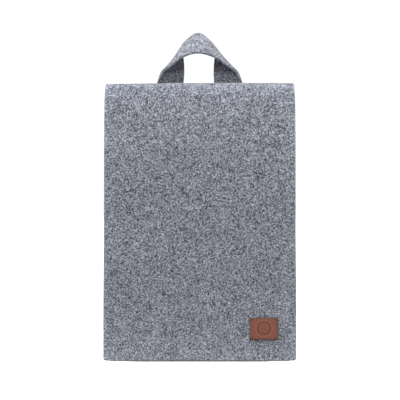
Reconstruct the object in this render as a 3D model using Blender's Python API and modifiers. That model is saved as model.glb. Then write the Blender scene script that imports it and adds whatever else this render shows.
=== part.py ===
"""Felt laptop sleeve for a 13-inch computer, standing upright.

X is the width, -Y is the front with the flap, +Z is up. One strip of felt makes the back,
the top and the flap. It bends at two fold lines along the top, and each bend is a quarter
round. A carrying loop is sewn to the back and tips backwards out of the flap's way.
"""

from math import cos, pi, radians, sin

import bmesh
import bpy
from mathutils import Matrix, Vector

MM = 0.001
GAP = 0.3 * MM  # clearance between pieces that touch
FELT = 3.0 * MM
HEIGHT = 346.0 * MM  # floor to the top of the closed sleeve
CAVITY_DEPTH = 17.6 * MM  # between the two linings
LINING = 1.0 * MM

# The pocket, from its middle plane outwards
BACK_WIDTH = 238.0 * MM
POCKET_WIDTH = 221.0 * MM  # across the outsides of the side walls
FLANGE = 8.5 * MM  # seam allowance beyond each side wall
SIDE_ROUND = 6.0 * MM  # where the front bends into a side wall
FELT_INSIDE = CAVITY_DEPTH / 2 + LINING + GAP
FELT_OUTSIDE = FELT_INSIDE + FELT
BOTTOM_HEIGHT = 7.5 * MM
BOTTOM_CORNER = 7.0 * MM
MOUTH = 331.0 * MM
EDGE_ROUND = 0.5 * MM

# The top folds
FOLD_RADIUS = 9.0 * MM  # middle of the felt
FOLD_LENGTH = FOLD_RADIUS * pi / 2
FOLD_Z = HEIGHT - FELT / 2 - FOLD_RADIUS
BACK_MID = FELT_OUTSIDE - FELT / 2
FACING = 1.0 * MM
FLAP_INSIDE = FELT_OUTSIDE + 0.5 * MM + FACING + GAP
FLAP_MID = FLAP_INSIDE + FELT / 2
REAR_FOLD_Y = BACK_MID - FOLD_RADIUS
FRONT_FOLD_Y = FOLD_RADIUS - FLAP_MID

# The flap
HEM = 1.5 * MM
FLAP_TOP_WIDTH = 235.0 * MM
FLAP_HEM_WIDTH = 241.0 * MM
FLAP_CORNER = 5.0 * MM
FACING_SIZE = (222.0 * MM, 55.0 * MM)
FACING_BOTTOM = 8.0 * MM

# Closure magnets
MAGNET_RADIUS = 7.0 * MM
MAGNET_THICK = 1.7 * MM
MAGNET_X = 50.0 * MM
MAGNET_Z = 32.0 * MM
RECESS_DEPTH = MAGNET_THICK + 0.4 * MM

# The patch
PATCH_SIZE = (35.0 * MM, 26.5 * MM)
PATCH_CENTRE = (80.0 * MM, 41.2 * MM)
PATCH_THICK = 1.3 * MM
PATCH_CORNER = 1.2 * MM
PATCH_STITCH_INSET = (3.0 * MM, 1.9 * MM)

# The carrying loop
STRAP_WIDTH = 34.0 * MM
LEG_OUTER = 53.0 * MM
STRAP_FRONT = FELT_OUTSIDE + GAP
TAB_TOP = 333.0 * MM
TAB_HEIGHT = 42.0 * MM
STRAP_LEAN = radians(38.5)  # of the strap's width at the top of the loop
# Lower front edge of the loop: across, up from the top of the sleeve, turn of the strap
LOOP_POINTS = (
    (-53.0, -4.0, 0.0),
    (-52.4, 1.0, 8.0),
    (-50.2, 6.5, 22.0),
    (-43.9, 16.6, 44.0),
    (-34.6, 25.6, 59.0),
    (-19.0, 34.2, 73.0),
    (0.0, 38.2, 90.0),
)
LOOP_SETBACK = 2.6 * MM  # the edge moves back as the strap turns, so it clears the flap
LOOP_SECTIONS = 44

THREAD = 0.8 * MM
THREAD_PROUD = GAP + THREAD / 2
STITCH_PITCH = 6.0 * MM

COLOURS = {
    "felt": (0.20, 0.21, 0.25, 1.0),
    "lining": (0.12, 0.12, 0.13, 1.0),
    "leather": (0.21, 0.09, 0.06, 1.0),
    "thread": (0.10, 0.10, 0.11, 1.0),
    "magnet": (0.50, 0.50, 0.52, 1.0),
}


def clear_scene():
    """Remove every object, so the script can be run again."""
    for obj in list(bpy.data.objects):
        bpy.data.objects.remove(obj, do_unlink=True)


def make_collection(name):
    """Return a new collection linked to the scene."""
    group = bpy.data.collections.new(name)
    bpy.context.scene.collection.children.link(group)
    return group


def make_material(node, slot):
    """Return a plain Principled material named after its node."""
    mat = bpy.data.materials.new(node)
    mat.use_nodes = True
    shader = mat.node_tree.nodes["Principled BSDF"]
    shader.inputs["Base Color"].default_value = COLOURS[slot]
    shader.inputs["Roughness"].default_value = 0.35 if slot == "magnet" else 0.9
    shader.inputs["Metallic"].default_value = 1.0 if slot == "magnet" else 0.0
    return mat


def add_object(name, bm, group, slot=None):
    """Turn a bmesh into an object with outward faces."""
    bmesh.ops.recalc_face_normals(bm, faces=bm.faces)
    mesh = bpy.data.meshes.new(name)
    bm.to_mesh(mesh)
    bm.free()
    obj = bpy.data.objects.new(name, mesh)
    group.objects.link(obj)
    if slot:
        mesh.materials.append(make_material(name, slot))
    return obj


def round_edges(obj, width=EDGE_ROUND, segments=2):
    """Round the sharp edges of a piece."""
    mod = obj.modifiers.new("edge_round", "BEVEL")
    mod.width = width
    mod.segments = segments
    mod.limit_method = "ANGLE"
    mod.angle_limit = radians(40)


def arc(centre, radius, start, end, steps):
    """Points on an arc in a plane, angles in degrees."""
    span = end - start
    turns = [radians(start + span * i / steps) for i in range(steps + 1)]
    return [(centre[0] + radius * cos(a), centre[1] + radius * sin(a)) for a in turns]


def panel_outline(top_half, bottom_half, low, high, corner, steps=4):
    """Outline in X and Z with rounded lower corners, widths given as halves."""
    left = arc((-bottom_half + corner, low + corner), corner, 180, 270, steps)
    right = arc((bottom_half - corner, low + corner), corner, 270, 360, steps)
    return [*left, *right, (top_half, high), (-top_half, high)]


def rounded_box(centre, size, corner, steps=3):
    """Outline of a rectangle in X and Z with four rounded corners."""
    half_x, half_z = size[0] / 2 - corner, size[1] / 2 - corner
    points = []
    for index, (side_x, side_z) in enumerate(((1, 1), (-1, 1), (-1, -1), (1, -1))):
        middle = (centre[0] + side_x * half_x, centre[1] + side_z * half_z)
        points += arc(middle, corner, 90 * index, 90 * index + 90, steps)
    return points


def sheet(name, outline, y_front, thick, group, slot=None):
    """A flat sheet with an outline in X and Z, thickened towards +Y."""
    bm = bmesh.new()
    face = bm.faces.new([bm.verts.new((x, y_front, z)) for x, z in outline])
    moved = bmesh.ops.extrude_face_region(bm, geom=[face])["geom"]
    verts = [item for item in moved if isinstance(item, bmesh.types.BMVert)]
    bmesh.ops.translate(bm, verts=verts, vec=(0, thick, 0))
    return add_object(name, bm, group, slot)


def loft(name, rings, group, slot, closed=False):
    """Skin a list of rings of points, capped at both ends unless closed on itself."""
    bm = bmesh.new()
    rows = [[bm.verts.new(point) for point in ring] for ring in rings]
    pairs = list(zip(rows, rows[1:]))
    if closed:
        pairs.append((rows[-1], rows[0]))
    for row, after in pairs:
        for index in range(len(row)):
            other = (index + 1) % len(row)
            bm.faces.new((row[index], row[other], after[other], after[index]))
    if not closed:
        bm.faces.new(rows[0])
        bm.faces.new(rows[-1])
    return add_object(name, bm, group, slot)


def thread_rings(points, out, closed=False):
    """Rings round a thread's route. It swells at each stitch."""
    out = Vector(out)
    count = len(points)
    rings = []
    for index, point in enumerate(points):
        before = points[index - 1] if index or closed else point
        after = points[(index + 1) % count] if index + 1 < count or closed else point
        across = (Vector(after) - Vector(before)).cross(out).normalized()
        radius = THREAD / 2 * (1.0 if index % 2 else 0.6)
        turns = [radians(60 * k) for k in range(6)]
        rings.append([Vector(point) + radius * (cos(a) * across + sin(a) * out) for a in turns])
    return rings


def straight_thread(name, start, end, out, group):
    """A line of stitches as one thread between two points."""
    start, end = Vector(start), Vector(end)
    count = 2 * round((end - start).length / STITCH_PITCH)
    points = [start.lerp(end, i / count) for i in range(count + 1)]
    return loft(name, thread_rings(points, out), group, "thread")


def cut(obj, cutter):
    """Take a hidden cutter out of a piece."""
    mod = obj.modifiers.new("recess", "BOOLEAN")
    mod.object = cutter
    mod.operation = "DIFFERENCE"
    mod.solver = "EXACT"


def cylinder(name, centre, radius, y_low, y_high, group, slot=None, sides=32):
    """A disc with its axis along Y."""
    outline = [
        (centre[0] + radius * cos(turn), centre[1] + radius * sin(turn))
        for turn in (2 * pi * k / sides for k in range(sides))
    ]
    return sheet(name, outline, y_low, y_high - y_low, group, slot)


def build_pocket(group, cutters):
    """Back panel, folded front panel, bottom, linings, their threads and magnets."""
    half = BACK_WIDTH / 2
    outline = panel_outline(half, half, 0.0, FOLD_Z - GAP / 2, BOTTOM_CORNER)
    round_edges(sheet("back_panel", outline, FELT_INSIDE, FELT, group, "felt"))

    wall = POCKET_WIDTH / 2
    outer = [(-wall - FLANGE, FELT_INSIDE - GAP), (-wall - FLANGE, FELT_INSIDE - GAP - FELT)]
    outer += [(-wall, FELT_INSIDE - GAP - FELT)]
    centre = (-wall + SIDE_ROUND, -FELT_OUTSIDE + SIDE_ROUND)
    outer += arc(centre, SIDE_ROUND, 180, 270, 4)
    inner = arc(centre, SIDE_ROUND - FELT, 270, 180, 4)
    inner += [(-wall + FELT, FELT_INSIDE - GAP)]
    right = [(-x, y) for x, y in reversed(outer)]
    right_inner = [(-x, y) for x, y in reversed(inner)]
    section = [*outer, *right, *right_inner, *inner]
    low, high = BOTTOM_HEIGHT + GAP, MOUTH
    rings = [[(x, y, z) for x, y in section] for z in (low, high)]
    front = loft("front_panel", rings, group, "felt")
    cut(front, magnet_recess("pocket_recess_cutter", -FELT_INSIDE, cutters))

    build_bottom(group, cutters, wall)
    build_linings(group, wall)
    build_pocket_threads(group, half)
    build_pocket_magnets(group)


def magnet_recess(name, face_y, cutters):
    """Cutter for a pair of magnet recesses that open at a felt sheet's rear face."""
    bm = bmesh.new()
    for side in (-1, 1):
        place = Matrix.Translation((side * MAGNET_X, face_y - RECESS_DEPTH / 2 + GAP, MAGNET_Z))
        bmesh.ops.create_cone(
            bm,
            cap_ends=True,
            segments=32,
            radius1=MAGNET_RADIUS + GAP,
            radius2=MAGNET_RADIUS + GAP,
            depth=RECESS_DEPTH + 2 * GAP,
            matrix=place @ Matrix.Rotation(pi / 2, 4, "X"),
        )
    return hide_cutter(add_object(name, bm, cutters))


def hide_cutter(cutter):
    """Keep a cutter out of renders and show it as wire."""
    cutter.hide_render = True
    cutter.display_type = "WIRE"
    return cutter


def build_bottom(group, cutters, wall):
    """The shallow pan that closes the pocket, hollowed from above."""
    outline = panel_outline(wall, wall, 0.0, BOTTOM_HEIGHT, BOTTOM_CORNER - 1 * MM)
    depth = FELT_OUTSIDE + FELT_INSIDE - GAP
    pan = sheet("bottom_fold", outline, -FELT_OUTSIDE, depth, group, "felt")
    inner = panel_outline(wall - FELT, wall - FELT, FELT, 2 * BOTTOM_HEIGHT, 3 * MM)
    hollow = sheet("bottom_hollow_cutter", inner, -FELT_INSIDE, 2 * FELT_INSIDE + 1 * MM, cutters)
    cut(pan, hide_cutter(hollow))
    return pan


def build_linings(group, wall):
    """Thin lining sheets against the inside of both panels."""
    half = wall - SIDE_ROUND
    low = BOTTOM_HEIGHT + GAP
    for name, front in (("back_lining", CAVITY_DEPTH / 2), ("front_lining", -FELT_INSIDE + GAP)):
        outline = panel_outline(half, half, low, MOUTH - 1 * MM, 2 * MM, 2)
        sheet(name, outline, front, LINING, group, "lining")


def build_pocket_threads(group, half):
    """Side seams down the back, and the stitched mouth edge."""
    rear = FELT_OUTSIDE + THREAD_PROUD
    seam = half - FLANGE / 2
    for name, side in (("seam_thread_left", -1), ("seam_thread_right", 1)):
        start, end = (side * seam, rear, 12 * MM), (side * seam, rear, MOUTH - 2 * MM)
        straight_thread(name, start, end, (0, 1, 0), group)
    front = -FELT_OUTSIDE - THREAD_PROUD + 0.05 * MM
    reach = POCKET_WIDTH / 2 - 8 * MM
    ends = (-reach, front, MOUTH - 5 * MM), (reach, front, MOUTH - 5 * MM)
    straight_thread("mouth_thread", *ends, (0, -1, 0), group)


def build_pocket_magnets(group):
    """Steel-cased magnets let into the front panel, under its lining."""
    back = -FELT_INSIDE - GAP
    for name, side in (("pocket_magnet_left", -1), ("pocket_magnet_right", 1)):
        centre = (side * MAGNET_X, MAGNET_Z)
        cylinder(name, centre, MAGNET_RADIUS, back - MAGNET_THICK, back, group, "magnet")


def fold_strip(name, centre_y, start, end, width, group):
    """A quarter round of felt between two panels."""
    margin = GAP / 2 / FOLD_RADIUS * 180 / pi
    outer = arc((centre_y, FOLD_Z), FOLD_RADIUS + FELT / 2, start + margin, end - margin, 8)
    inner = arc((centre_y, FOLD_Z), FOLD_RADIUS - FELT / 2, end - margin, start + margin, 8)
    section = [*outer, *inner]
    rings = [[(x, y, z) for y, z in section] for x in (-width / 2, width / 2)]
    return loft(name, rings, group, "felt")


def build_top(group):
    """Rear fold, the narrow top strip and the front fold."""
    fold_strip("rear_fold", REAR_FOLD_Y, 0, 90, FLAP_TOP_WIDTH, group)
    fold_strip("front_fold", FRONT_FOLD_Y, 90, 180, FLAP_TOP_WIDTH, group)
    low, high = HEIGHT - FELT, HEIGHT
    outline = panel_outline(FLAP_TOP_WIDTH / 2, FLAP_TOP_WIDTH / 2, low, high, EDGE_ROUND, 2)
    depth = REAR_FOLD_Y - FRONT_FOLD_Y - GAP
    sheet("spine_panel", outline, FRONT_FOLD_Y + GAP / 2, depth, group, "felt")


def build_flap(group, cutters):
    """The flap with its hem facing, magnets, patch and stitches."""
    top, hem = FLAP_TOP_WIDTH / 2, FLAP_HEM_WIDTH / 2
    outline = panel_outline(top, hem, HEM, FOLD_Z - GAP / 2, FLAP_CORNER)
    flap = sheet("flap_panel", outline, -FLAP_INSIDE - FELT, FELT, group, "felt")
    cut(flap, magnet_recess("flap_recess_cutter", -FLAP_INSIDE, cutters))
    round_edges(flap)

    facing_y = -FLAP_INSIDE + GAP
    middle = (0.0, FACING_BOTTOM + FACING_SIZE[1] / 2)
    facing = rounded_box(middle, FACING_SIZE, 4 * MM)
    sheet("flap_hem_facing", facing, facing_y, FACING, group, "lining")
    thread_z = FACING_BOTTOM + FACING_SIZE[1] + 2 * MM
    thread_y = -FLAP_INSIDE + THREAD_PROUD
    reach = FACING_SIZE[0] / 2
    ends = (-reach, thread_y, thread_z), (reach, thread_y, thread_z)
    straight_thread("facing_thread", *ends, (0, 1, 0), group)
    back = -FLAP_INSIDE - GAP
    for name, side in (("flap_magnet_left", -1), ("flap_magnet_right", 1)):
        centre = (side * MAGNET_X, MAGNET_Z)
        cylinder(name, centre, MAGNET_RADIUS, back - MAGNET_THICK, back, group, "magnet")


def build_patch(group):
    """The leather patch and the short stitch at each of its corners."""
    rear = -FLAP_INSIDE - FELT - GAP
    outline = rounded_box(PATCH_CENTRE, PATCH_SIZE, PATCH_CORNER)
    patch = sheet("leather_patch", outline, rear - PATCH_THICK, PATCH_THICK, group, "leather")
    round_edges(patch, 0.3 * MM)
    front = rear - PATCH_THICK - GAP - THREAD / 2
    number = 0
    for side_z in (1, -1):
        for side_x in (-1, 1):
            number += 1
            x = PATCH_CENTRE[0] + side_x * (PATCH_SIZE[0] / 2 - PATCH_STITCH_INSET[0])
            z = PATCH_CENTRE[1] + side_z * (PATCH_SIZE[1] / 2 - PATCH_STITCH_INSET[1])
            points = [(x + step * MM, front, z) for step in (-1.1, 0.0, 1.1)]
            rings = thread_rings(points, (0, -1, 0))
            loft(f"patch_stitch_{number}", rings, group, "thread")


def smooth_value(values, position, even):
    """Value on a smooth curve through evenly numbered values.

    Past its last value the curve runs back the same way where even is true, and otherwise
    carries on the opposite way.
    """
    last = len(values) - 1
    index = min(int(position), last - 1)
    t = position - index
    before = values[index - 1] if index else 2 * values[0] - values[1]
    back = values[last - 1]
    beyond = back if even else 2 * values[last] - back
    after = values[index + 2] if index + 2 <= last else beyond
    a, b = values[index], values[index + 1]
    return 0.5 * (
        2 * a
        + (b - before) * t
        + (2 * before - 5 * a + 4 * b - after) * t * t
        + (3 * a - before - 3 * b + after) * t**3
    )


def loop_edge(position):
    """Point on the loop's front edge and the direction of the strap's width there."""
    last = len(LOOP_POINTS) - 1
    side = 1 if position <= last else -1
    position = min(max(position, 0.0), 2.0 * last)
    along = min(position, 2 * last - position)
    across, up, turn = (
        smooth_value([point[k] for point in LOOP_POINTS], along, k == 1) for k in range(3)
    )
    turn = radians(turn)
    point = Vector((side * across * MM, STRAP_FRONT + LOOP_SETBACK * sin(turn), HEIGHT + up * MM))
    width = Vector((side * cos(turn), sin(turn) * cos(STRAP_LEAN), sin(turn) * sin(STRAP_LEAN)))
    return point, width


def strap_section(point, width, along):
    """Four corners of the strap where it crosses a point of its front edge."""
    inward = width.cross(along).normalized()
    edge = point + width * STRAP_WIDTH
    return [point, edge, edge - inward * FELT, point - inward * FELT]


def loop_rings():
    """Sections of the loop from the left tab over to the right tab."""
    up = Vector((0, 0, 1))
    rings = [
        strap_section(Vector((-LEG_OUTER, STRAP_FRONT, height)), Vector((1, 0, 0)), up)
        for height in (TAB_TOP + GAP, TAB_TOP + 5 * MM)
    ]
    feet = [[Vector((-p.x, p.y, p.z)) for p in ring] for ring in reversed(rings)]
    last = 2 * (len(LOOP_POINTS) - 1)
    step = last / LOOP_SECTIONS
    for index in range(LOOP_SECTIONS + 1):
        position = index * step
        point, width = loop_edge(position)
        along = loop_edge(position + step / 2)[0] - loop_edge(position - step / 2)[0]
        rings.append(strap_section(point, width, along))
    return rings + feet


def build_handle(group):
    """Tabs sewn to the back, their box stitches, and the loop between them."""
    rear = STRAP_FRONT + FELT + THREAD_PROUD
    for name, side in (("left", -1), ("right", 1)):
        middle = (side * (LEG_OUTER - STRAP_WIDTH / 2), TAB_TOP - TAB_HEIGHT / 2)
        outline = rounded_box(middle, (STRAP_WIDTH, TAB_HEIGHT), 1.5 * MM)
        tab = sheet(f"handle_tab_{name}", outline, STRAP_FRONT, FELT, group, "felt")
        round_edges(tab)
        path = rounded_box(middle, (STRAP_WIDTH - 9 * MM, TAB_HEIGHT - 10 * MM), 2 * MM, 2)
        route = stitch_route(path, rear)
        rings = thread_rings(route, (0, 1, 0), closed=True)
        loft(f"handle_stitch_{name}", rings, group, "thread", closed=True)

    loft("handle_loop", loop_rings(), group, "felt")


def stitch_route(outline, y):
    """Points spaced about half a stitch apart round a closed outline."""
    points = []
    for start, end in zip(outline, [*outline[1:], outline[0]]):
        gap = Vector((end[0] - start[0], 0, end[1] - start[1])).length
        count = max(1, round(gap / (STITCH_PITCH / 2)))
        for step in range(count):
            t = step / count
            x = start[0] + (end[0] - start[0]) * t
            z = start[1] + (end[1] - start[1]) * t
            points.append((x, y, z))
    return points


def main():
    """Build the sleeve."""
    clear_scene()
    group = make_collection("laptop_sleeve")
    cutters = make_collection("cutters")
    build_pocket(group, cutters)
    build_top(group)
    build_flap(group, cutters)
    build_patch(group)
    build_handle(group)


main()
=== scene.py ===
"""Looks of the felt laptop sleeve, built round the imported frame.

X is the width, -Y the front, +Z up, in metres. The felt strip, the pocket, the linings, the
carrying loop, the stitches and the patch are meshes made here, over the CAD nodes they stand
for. The CAD magnets stay, with a steel finish.
"""

from math import cos, pi, radians, sin

import bmesh
import bpy
import numpy as np
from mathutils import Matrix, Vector, noise


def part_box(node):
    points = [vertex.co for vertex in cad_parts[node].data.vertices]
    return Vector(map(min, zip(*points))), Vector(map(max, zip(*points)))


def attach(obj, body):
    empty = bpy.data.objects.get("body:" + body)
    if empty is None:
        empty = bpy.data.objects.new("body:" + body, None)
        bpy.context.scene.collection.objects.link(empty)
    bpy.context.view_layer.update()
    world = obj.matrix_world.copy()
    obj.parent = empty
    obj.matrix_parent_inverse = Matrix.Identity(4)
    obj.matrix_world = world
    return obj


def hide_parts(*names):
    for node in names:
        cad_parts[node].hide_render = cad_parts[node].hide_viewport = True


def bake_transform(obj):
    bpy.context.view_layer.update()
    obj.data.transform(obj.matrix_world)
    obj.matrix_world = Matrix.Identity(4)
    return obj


MM = 0.001
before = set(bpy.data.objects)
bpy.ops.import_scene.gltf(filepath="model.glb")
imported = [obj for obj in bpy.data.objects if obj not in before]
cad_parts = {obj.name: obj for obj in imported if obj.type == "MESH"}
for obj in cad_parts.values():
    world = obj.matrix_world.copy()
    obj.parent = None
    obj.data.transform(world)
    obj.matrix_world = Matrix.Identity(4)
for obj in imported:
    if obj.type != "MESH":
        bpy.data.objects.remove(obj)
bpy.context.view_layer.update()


def node_box(name):
    """Lowest and highest corner of a CAD node, as vectors."""
    low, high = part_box(name)
    return Vector(low), Vector(high)


BACK_LOW, BACK_HIGH = node_box("back_panel")
FLAP_LOW, FLAP_HIGH = node_box("flap_panel")
FRONT_LOW, FRONT_HIGH = node_box("front_panel")
BOTTOM_LOW, BOTTOM_HIGH = node_box("bottom_fold")
SPINE_LOW, SPINE_HIGH = node_box("spine_panel")
TAB_LOW, TAB_HIGH = node_box("handle_tab_left")
PATCH_LOW, PATCH_HIGH = node_box("leather_patch")
FACING_LOW, FACING_HIGH = node_box("flap_hem_facing")

FELT = BACK_HIGH.y - BACK_LOW.y
TOP = SPINE_HIGH.z
BACK_MID = (BACK_LOW.y + BACK_HIGH.y) / 2
FLAP_MID = (FLAP_LOW.y + FLAP_HIGH.y) / 2
SPINE_MID = (SPINE_LOW.y + SPINE_HIGH.y) / 2
SPINE_Z = (SPINE_LOW.z + SPINE_HIGH.z) / 2
HEM = FLAP_LOW.z

# The camera stands far off, so that the view is almost without perspective
VIEW_WIDTH = 0.4986
VIEW_HEIGHT = 0.2016
CAMERA_DISTANCE = 8.0
SENSOR_MM = 36.0

# Sheets
EDGE_INSET = 1.1 * MM  # how far the round edge stands out past the flat part
EDGE_TURNS = (55, 20, -20, -55)  # its rows, in degrees from the middle of the thickness
EDGE_START = 0.6  # the edge value where the flat part ends
EDGE_RAGGED = 0.35  # raggedness as a share of the surface's unevenness
GRID = 2.6 * MM  # between the mesh's rows
EDGE_ROW = 1.8 * MM  # between the closer rows along an edge
CORNER_ROW = 1.4 * MM  # between the closer rows round a corner
HALF_WIDTH = 0.12  # the sleeve's rough half width, which turns a length into a share

# Sides of the strip
SIDE_TAPER = 0.55  # how much of the way to the spine's narrower width they go
SIDE_WANDER = 0.15 * MM
SIDE_WAVES = 29.0  # radians a metre
DRAWN_FROM = 0.93  # share of the height from which the top fold draws them in
DRAWN_BY = 1.4 * MM
BACK_FOLD_Z = 334 * MM  # the back is upright up to here

# How the top fold stands up
RISE_SIDES = 0.95 * MM
RISE_MIDDLE = 0.85 * MM  # more than at the sides
RISE_SLOPE = 0.0055  # to the right
RISE_HALF_WIDTH = 118 * MM
RISE_FADE = 20 * MM  # how far down this fades out

# Felt colours: dark, usual and pale fibres, and dark for seam lines and painted shadow
FELT_DARK = (0.028, 0.032, 0.048)
FELT_USUAL = (0.206, 0.218, 0.268)
FELT_PALE = (0.580, 0.611, 0.694)
FELT_SEAM_AND_SHADOW = (0.035, 0.039, 0.052)
FELT_CONTRAST = 2.7

# Leather colours: grain, the gaps between its pebbles, pressed parts (burnish and painted
# shade), the painted highlight of the raised lip, and cut parts
LEATHER_DARK = (0.235, 0.081, 0.049)
LEATHER_LIGHT = (0.345, 0.128, 0.079)
LEATHER_GAP = (0.11, 0.045, 0.03)
LEATHER_BURNISH_AND_SHADE = (0.075, 0.026, 0.018)
LEATHER_HIGHLIGHT = (0.50, 0.21, 0.14)
LEATHER_CUT = (0.09, 0.035, 0.025)

LINING_COLOUR = (0.055, 0.056, 0.062)
THREAD_COLOUR = (0.020, 0.021, 0.026)
PATCH_THREAD_COLOUR = (0.018, 0.011, 0.005)

# Stitches: length, pitch and radius
SEAM_STITCH = (4.0 * MM, 5.6 * MM, 0.6 * MM)
BOX_STITCH = (2.8 * MM, 3.8 * MM, 0.7 * MM)
CORNER_STITCH = (2.5 * MM, 2.6 * MM, 0.7 * MM)

# Left half of the carrying loop, from its foot to the middle of its apex. Each row has the
# lower front edge's place across and above the top, in mm, the turn of the strap's width
# out of the sleeve's plane, in degrees, and that width, in mm. Where the width is turned
# out, it leans up by LOOP_LEAN. The edge is set back as it turns and lifted as it rises
LOOP_POINTS = (
    (-54.0, -4.0, 0.0, 35.2),
    (-53.4, 1.2, 10.0, 35.4),
    (-50.5, 7.6, 30.0, 38.0),
    (-44.2, 14.8, 52.5, 41.6),
    (-34.4, 21.4, 66.3, 42.0),
    (-19.0, 32.2, 73.0, 40.2),
    (0.0, 37.2, 90.0, 36.8),
)
LOOP_LEAN = radians(43.0)
LOOP_SETBACK = 2.6 * MM
LOOP_LIFT = 1.0 * MM
LOOP_THICK = 3.7 * MM
LOOP_SAG = 0.8 * MM

# How the loop differs from a symmetrical one
LOOP_TWIST = 2.0  # degrees more on the left and less on the right
LOOP_TWIST_AT = 4.2  # place along LOOP_POINTS
LOOP_TWIST_SPREAD = 0.8
LOOP_DRIFT = -2.3 * MM  # of the apex
LOOP_RISE_MM = 38.0
LOOP_UNEVEN = 0.04  # share narrower at the left foot and wider at the right one


# ---------------------------------------------------------------- node materials


class Nodes:
    """A short way to write a node tree."""

    def __init__(self, name):
        self.mat = bpy.data.materials.new(name)
        self.mat.use_nodes = True
        self.tree = self.mat.node_tree
        self.shader = self.tree.nodes["Principled BSDF"]

    def add(self, kind, inputs=None, **settings):
        """Add a node, with values or links for its inputs."""
        node = self.tree.nodes.new(kind)
        for key, value in settings.items():
            setattr(node, key, value)
        for key, value in (inputs or {}).items():
            self.put(node, key, value)
        return node

    def put(self, node, key, value):
        """Set an input, or link it where value is an output socket."""
        socket = node.inputs[key]
        if isinstance(value, bpy.types.NodeSocket):
            self.tree.links.new(value, socket)
        else:
            socket.default_value = value

    def rest(self):
        """Place at rest, as stored on the mesh."""
        return self.add("ShaderNodeAttribute", attribute_name="rest").outputs["Vector"]

    def painted(self, name):
        """A value stored on the mesh's points."""
        return self.add("ShaderNodeAttribute", attribute_name=name).outputs["Fac"]

    def math(self, operation, a, b=0.0, clamp=False):
        """One Math node."""
        node = self.add("ShaderNodeMath", {0: a, 1: b}, operation=operation, use_clamp=clamp)
        return node.outputs[0]

    def vector(self, operation, inputs):
        """One Vector Math node."""
        return self.add("ShaderNodeVectorMath", inputs, operation=operation).outputs[0]

    def total(self, *terms):
        """The sum of several values."""
        whole = terms[0]
        for term in terms[1:]:
            whole = self.math("ADD", whole, term)
        return whole

    def spread(self, value, middle, gain):
        """How far a value is from its middle, times a gain."""
        return self.math("MULTIPLY", self.math("SUBTRACT", value, middle), gain)

    def line(self, off, reach):
        """1 on the middle of a line, falling to 0 at its reach on both sides."""
        away = self.math("DIVIDE", self.math("ABSOLUTE", off), reach)
        return self.math("SUBTRACT", 1.0, away, clamp=True)

    def noise(self, scale, detail=2.0, rough=0.5, distort=0.0, vector=None):
        """A noise value centred on a half."""
        inputs = {"Scale": scale, "Detail": detail, "Roughness": rough, "Distortion": distort}
        if vector:
            inputs["Vector"] = vector
        return self.add("ShaderNodeTexNoise", inputs).outputs["Fac"]

    def bands(self, place, scale, distort, direction):
        """A wave value in bands along a direction."""
        inputs = {"Vector": place, "Scale": scale, "Distortion": distort}
        return self.add("ShaderNodeTexWave", inputs, bands_direction=direction).outputs["Fac"]

    def ramp(self, value, stops):
        """A colour ramp from (position, colour) stops."""
        node = self.add("ShaderNodeValToRGB", {"Fac": value})
        elements = node.color_ramp.elements
        while len(elements) < len(stops):
            elements.new(0.5)
        for element, (place, colour) in zip(elements, stops):
            element.position = place
            element.color = (*colour, 1.0)
        return node.outputs["Color"]

    def tint(self, colour, factor, amount, towards):
        """Mix a colour towards another one, by amount where the factor is 1."""
        share = self.math("MULTIPLY", factor, amount)
        inputs = {0: share, 6: colour, 7: (*towards, 1.0)}
        return self.add("ShaderNodeMix", inputs, data_type="RGBA", blend_type="MIX").outputs[2]

    def bump(self, height, distance, strength, normal=None):
        """A bump normal from a height in metres once multiplied by distance."""
        inputs = {"Height": height, "Distance": distance, "Strength": strength}
        if normal:
            inputs["Normal"] = normal
        return self.add("ShaderNodeBump", inputs).outputs["Normal"]

    def surface(self, colour, roughness, normal=None, **constants):
        """Fill in the Principled shader."""
        self.put(self.shader, "Base Color", colour)
        self.put(self.shader, "Roughness", roughness)
        if normal:
            self.put(self.shader, "Normal", normal)
        for key, value in constants.items():
            self.put(self.shader, key.replace("_", " "), value)
        return self.mat


def toned(colour, factor):
    """A colour made darker or lighter."""
    return tuple(factor * c for c in colour)


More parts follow.
